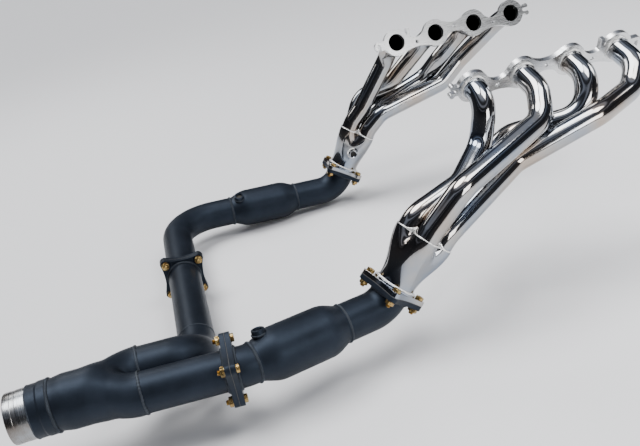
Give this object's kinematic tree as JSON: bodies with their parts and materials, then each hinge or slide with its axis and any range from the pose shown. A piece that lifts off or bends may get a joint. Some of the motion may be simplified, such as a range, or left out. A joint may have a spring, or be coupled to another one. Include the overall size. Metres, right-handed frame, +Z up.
{
  "type": "racing exhaust system",
  "caption": "V8 long-tube headers with merge collectors, catalytic pipes and a Y pipe, bolted together by lobed flanges, ending in one slip-fit outlet.",
  "frame": {"origin": "on the engine's centre plane, level with the exhaust port centres and in line with the right bank's rear port", "axes": "+Y towards the front of the engine, +X to the engine's right, +Z up"},
  "size_m": [0.9169, 1.4253, 0.4701],
  "materials": {
    "polished_stainless": "mirror-polished stainless steel",
    "flange_stainless": "satin machined stainless plate",
    "bright_weld": "bright rippled weld bead",
    "black_coating": "satin high-temperature black coating on steel",
    "yellow_zinc": "yellow zinc plated steel",
    "bare_stainless": "bare drawn stainless tube",
    "gasket_composite": "graphite-faced steel",
    "catalyst_ceramic": "coated ceramic honeycomb",
    "mounting_mat": "ceramic fibre mat"
  },
  "bodies": {
    "root": {"left_head_flange": "flange_stainless", "left_primary_tube_1": "polished_stainless", "left_primary_tube_2": "polished_stainless", "left_primary_tube_3": "polished_stainless", "left_primary_tube_4": "polished_stainless", "left_port_welds": "bright_weld", "left_merge_collector": "polished_stainless", "left_collector_weld": "bright_weld", "left_collector_flange": "polished_stainless", "left_header_o2_bung": "polished_stainless", "left_header_gasket": "gasket_composite", "left_header_bolts": "yellow_zinc", "left_header_nuts": "yellow_zinc", "right_head_flange": "flange_stainless", "right_primary_tube_1": "polished_stainless", "right_primary_tube_2": "polished_stainless", "right_primary_tube_3": "polished_stainless", "right_primary_tube_4": "polished_stainless", "right_port_welds": "bright_weld", "right_merge_collector": "polished_stainless", "right_collector_weld": "bright_weld", "right_collector_flange": "polished_stainless", "right_header_o2_bung": "polished_stainless", "right_header_gasket": "gasket_composite", "right_header_bolts": "yellow_zinc", "right_header_nuts": "yellow_zinc", "left_cat_inlet_flange": "black_coating", "left_cat_inlet_pipe": "black_coating", "left_cat_shell": "black_coating", "left_cat_substrate": "catalyst_ceramic", "left_cat_mat": "mounting_mat", "left_cat_o2_bung": "black_coating", "left_cat_outlet_pipe": "black_coating", "left_cat_outlet_flange": "black_coating", "left_cat_welds": "black_coating", "right_cat_inlet_flange": "black_coating", "right_cat_inlet_pipe": "black_coating", "right_cat_shell": "black_coating", "right_cat_substrate": "catalyst_ceramic", "right_cat_mat": "mounting_mat", "right_cat_o2_bung": "black_coating", "right_cat_outlet_pipe": "black_coating", "right_cat_outlet_flange": "black_coating", "right_cat_welds": "black_coating", "left_y_gasket": "gasket_composite", "left_y_bolts": "yellow_zinc", "left_y_nuts": "yellow_zinc", "right_y_gasket": "gasket_composite", "right_y_bolts": "yellow_zinc", "right_y_nuts": "yellow_zinc", "crossover_inlet_flange": "black_coating", "crossover_pipe": "black_coating", "crossover_elbow": "black_coating", "right_inlet_flange": "black_coating", "right_inlet_pipe": "black_coating", "y_merge": "black_coating", "outlet_stub": "black_coating", "outlet_sleeve": "bare_stainless", "y_pipe_welds": "black_coating"}
  },
  "joints": []
}
